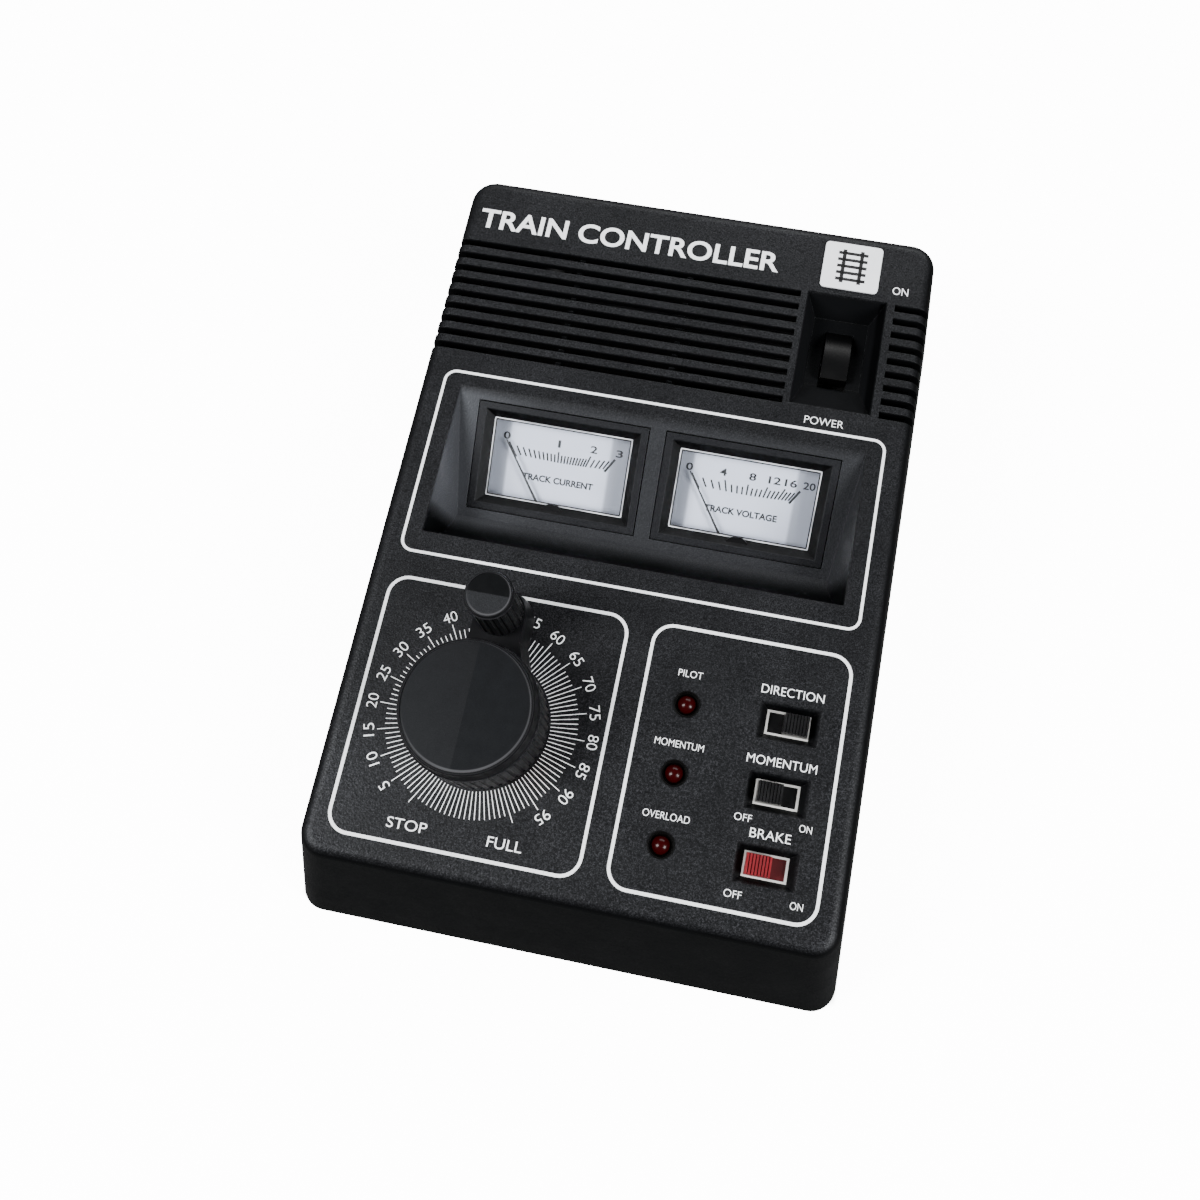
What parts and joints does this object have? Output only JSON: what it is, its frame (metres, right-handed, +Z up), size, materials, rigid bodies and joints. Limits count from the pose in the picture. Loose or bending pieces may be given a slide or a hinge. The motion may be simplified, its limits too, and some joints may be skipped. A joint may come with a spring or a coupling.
{
  "type": "train set controller",
  "caption": "Mains-powered model train controller: sloping case with crank throttle, two panel meters, lamps, slide switches and a power rocker.",
  "frame": {"origin": "on the surface the feet stand on, in the middle of the outline of the case", "axes": "+X to the user's right, +Y towards the back, +Z up"},
  "size_m": [0.159, 0.223, 0.0722],
  "materials": {
    "case_black": "fine moulded grain",
    "plate_black": "black stove paint",
    "foot_rubber": "moulded",
    "screw_steel": "zinc plated",
    "knob_black": "satin moulded",
    "knob_cap": "fine grain",
    "plated_can": "tin plated",
    "bezel_black": "satin",
    "meter_case": "plain",
    "clear_window": "clear moulded",
    "scale_white": "matt white enamel",
    "movement_iron": "plated",
    "needle_black": "matt",
    "lamp_red": "tinted lens",
    "collar_black": "polished",
    "switch_plate": "bright plated",
    "switch_body": "plain",
    "slider_black": "satin moulded",
    "slider_red": "satin moulded",
    "rocker_black": "satin moulded",
    "board_green": "solder mask",
    "capacitor_blue": "sleeved",
    "package_black": "moulded",
    "heat_sink_alu": "mill finish",
    "core_iron": "varnished laminations",
    "winding_tape": "wrapped",
    "terminal_black": "moulded",
    "terminal_brass": "plated",
    "gland_rubber": "moulded",
    "badge_white": "printed"
  },
  "bodies": {
    "housing": {"back_left_foot": "foot_rubber", "back_right_foot": "foot_rubber", "badge_plate": "badge_white", "base_plate": "plate_black", "brake_switch_body": "switch_body", "brake_switch_frame": "switch_plate", "bridge_rectifier": "package_black", "case_screws": "screw_steel", "circuit_board": "board_green", "cord_gland": "gland_rubber", "current_meter_bezel": "bezel_black", "current_meter_case": "meter_case", "current_meter_movement": "movement_iron", "current_meter_scale": "scale_white", "current_meter_window": "clear_window", "direction_switch_body": "switch_body", "direction_switch_frame": "switch_plate", "front_left_foot": "foot_rubber", "front_right_foot": "foot_rubber", "heat_sink": "heat_sink_alu", "momentum_lamp": "lamp_red", "momentum_lamp_collar": "collar_black", "momentum_switch_body": "switch_body", "momentum_switch_frame": "switch_plate", "overload_lamp": "lamp_red", "overload_lamp_collar": "collar_black", "pilot_lamp": "lamp_red", "pilot_lamp_collar": "collar_black", "potentiometer": "plated_can", "potentiometer_nut": "screw_steel", "potentiometer_washer": "screw_steel", "power_rocker_pin": "screw_steel", "power_switch_body": "switch_body", "power_transistor": "package_black", "smoothing_capacitor": "capacitor_blue", "terminal_block": "terminal_black", "terminal_screws": "terminal_brass", "top_housing": "case_black", "transformer_core": "core_iron", "transformer_screws": "screw_steel", "transformer_strap": "plated_can", "transformer_windings": "winding_tape", "voltage_meter_bezel": "bezel_black", "voltage_meter_case": "meter_case", "voltage_meter_movement": "movement_iron", "voltage_meter_scale": "scale_white", "voltage_meter_window": "clear_window"},
    "throttle": {"throttle_knob": "knob_black", "throttle_cap": "knob_cap", "throttle_shaft": "screw_steel", "finger_pin": "screw_steel"},
    "finger_grip": {"finger_knob": "knob_black", "finger_cap": "knob_cap"},
    "current_needle": {"current_meter_needle": "needle_black"},
    "voltage_needle": {"voltage_meter_needle": "needle_black"},
    "power_paddle": {"power_rocker": "rocker_black"},
    "direction_slide": {"direction_slider": "slider_black"},
    "momentum_slide": {"momentum_slider": "slider_black"},
    "brake_slide": {"brake_slider": "slider_red"}
  },
  "joints": [
    {"name": "throttle_turn", "type": "hinge", "parent": "housing", "child": "throttle", "pos_m": [-0.0304, -0.05837, 0.04032], "axis": [0, -0.1045, 0.9945], "range_deg": [-150, 150]},
    {"name": "finger_spin", "type": "hinge", "parent": "throttle", "child": "finger_grip", "pos_m": [-0.0304, -0.03072, 0.04322], "axis": [0, -0.1045, 0.9945], "continuous": true},
    {"name": "current_swing", "type": "hinge", "parent": "housing", "child": "current_needle", "pos_m": [-0.0277, 0.00587, 0.02449], "axis": [0, 0.5446, -0.8387], "range_deg": [0, 68], "stiffness_Nm_per_rad": 0.0005},
    {"name": "voltage_swing", "type": "hinge", "parent": "housing", "child": "voltage_needle", "pos_m": [0.0277, 0.00587, 0.02449], "axis": [0, 0.5446, -0.8387], "range_deg": [0, 68], "stiffness_Nm_per_rad": 0.0005},
    {"name": "power_rock", "type": "hinge", "parent": "housing", "child": "power_paddle", "pos_m": [0.0471, 0.06896, 0.04002], "axis": [1, 0, 0], "range_deg": [0, 16]},
    {"name": "direction_travel", "type": "slide", "parent": "housing", "child": "direction_slide", "axis": [-1, 0, 0], "range_m": [0, 0.004]},
    {"name": "momentum_travel", "type": "slide", "parent": "housing", "child": "momentum_slide", "axis": [1, 0, 0], "range_m": [0, 0.004]},
    {"name": "brake_travel", "type": "slide", "parent": "housing", "child": "brake_slide", "axis": [1, 0, 0], "range_m": [0, 0.004]}
  ]
}
